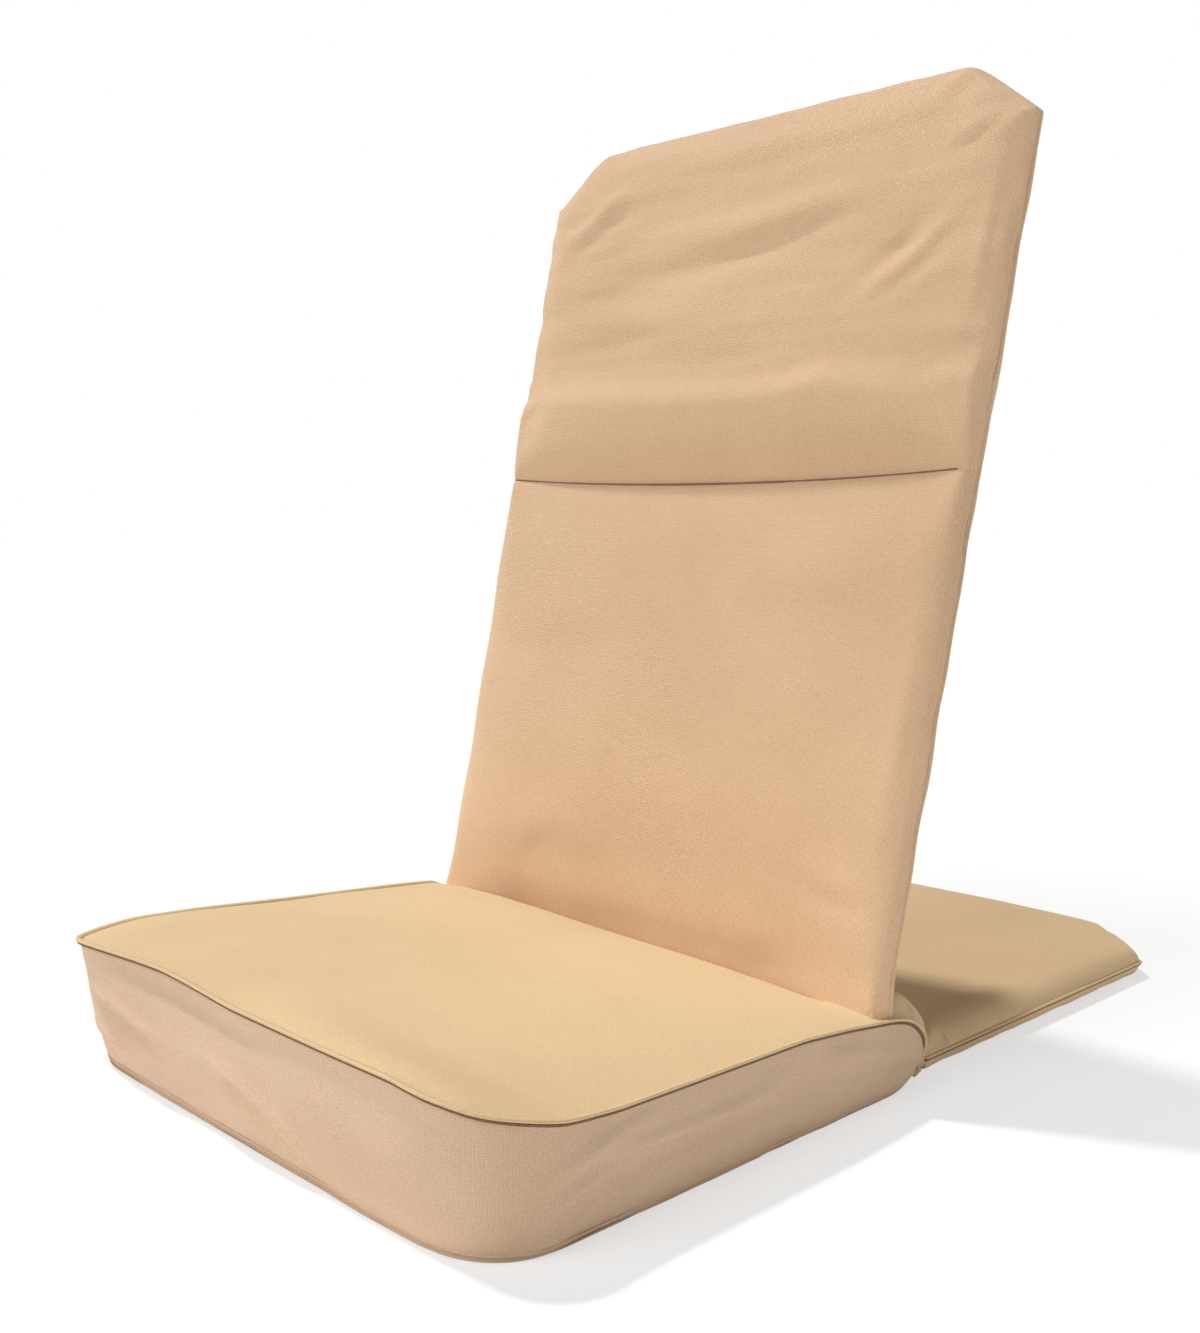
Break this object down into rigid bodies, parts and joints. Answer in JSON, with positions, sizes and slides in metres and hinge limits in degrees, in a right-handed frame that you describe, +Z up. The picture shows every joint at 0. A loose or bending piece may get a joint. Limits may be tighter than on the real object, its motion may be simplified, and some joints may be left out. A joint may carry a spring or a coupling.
{
  "type": "folding floor chair",
  "caption": "Padded floor chair with a box cushion, a reclined backrest that folds forward over it, and a thin pad behind that stops it tipping.",
  "frame": {"origin": "on the floor, at mid width, half way between the front of the cushion and the rear of the pad", "axes": "+X across the chair, the chair faces -Y, +Z up"},
  "size_m": [0.4454, 0.7824, 0.6643],
  "materials": {
    "loop_steel": "satin black powder coat",
    "back_steel": "satin black powder coat",
    "sleeve_steel": "plain drawn tube",
    "bracket_steel": "satin black powder coat",
    "zinc": "zinc plated",
    "washer_nylon": "natural nylon",
    "plug_plastic": "moulded",
    "foam": "open cell foam",
    "canvas_seat": "cotton canvas, plain weave",
    "canvas_back": "cotton canvas, plain weave",
    "canvas_pad": "cotton canvas, plain weave",
    "canvas_under": "cotton canvas, plain weave"
  },
  "bodies": {
    "base": {"base_front_tube": "loop_steel", "base_rear_tube": "loop_steel", "tube_joint_sleeves": "sleeve_steel", "base_cross_tube": "loop_steel", "pivot_bracket_right": "bracket_steel", "pivot_bracket_left": "bracket_steel", "bracket_rivets": "zinc", "pivot_bolts": "zinc", "pivot_nuts": "zinc", "pivot_washers": "washer_nylon", "seat_foam": "foam", "seat_cover_top": "canvas_seat", "seat_cover_band": "canvas_seat", "seat_cover_bottom": "canvas_under", "hinge_cover": "canvas_seat", "hinge_filler": "foam", "pad_foam": "foam", "pad_cover_top": "canvas_pad", "pad_cover_bottom": "canvas_under"},
    "backrest": {"back_tube": "back_steel", "back_lower_tube": "back_steel", "leg_bushings": "washer_nylon", "leg_plugs": "plug_plastic", "back_foam_lower": "foam", "back_foam_upper": "foam", "back_cover_lower": "canvas_back", "back_cover_upper": "canvas_back", "back_cover_rear": "canvas_back"}
  },
  "joints": [
    {"name": "back_fold", "type": "hinge", "parent": "base", "child": "backrest", "pos_m": [0, -0.0485, 0.054], "axis": [1, 0, 0], "range_deg": [0, 100], "deforming": ["seat_foam", "seat_cover_top", "seat_cover_band"]}
  ]
}
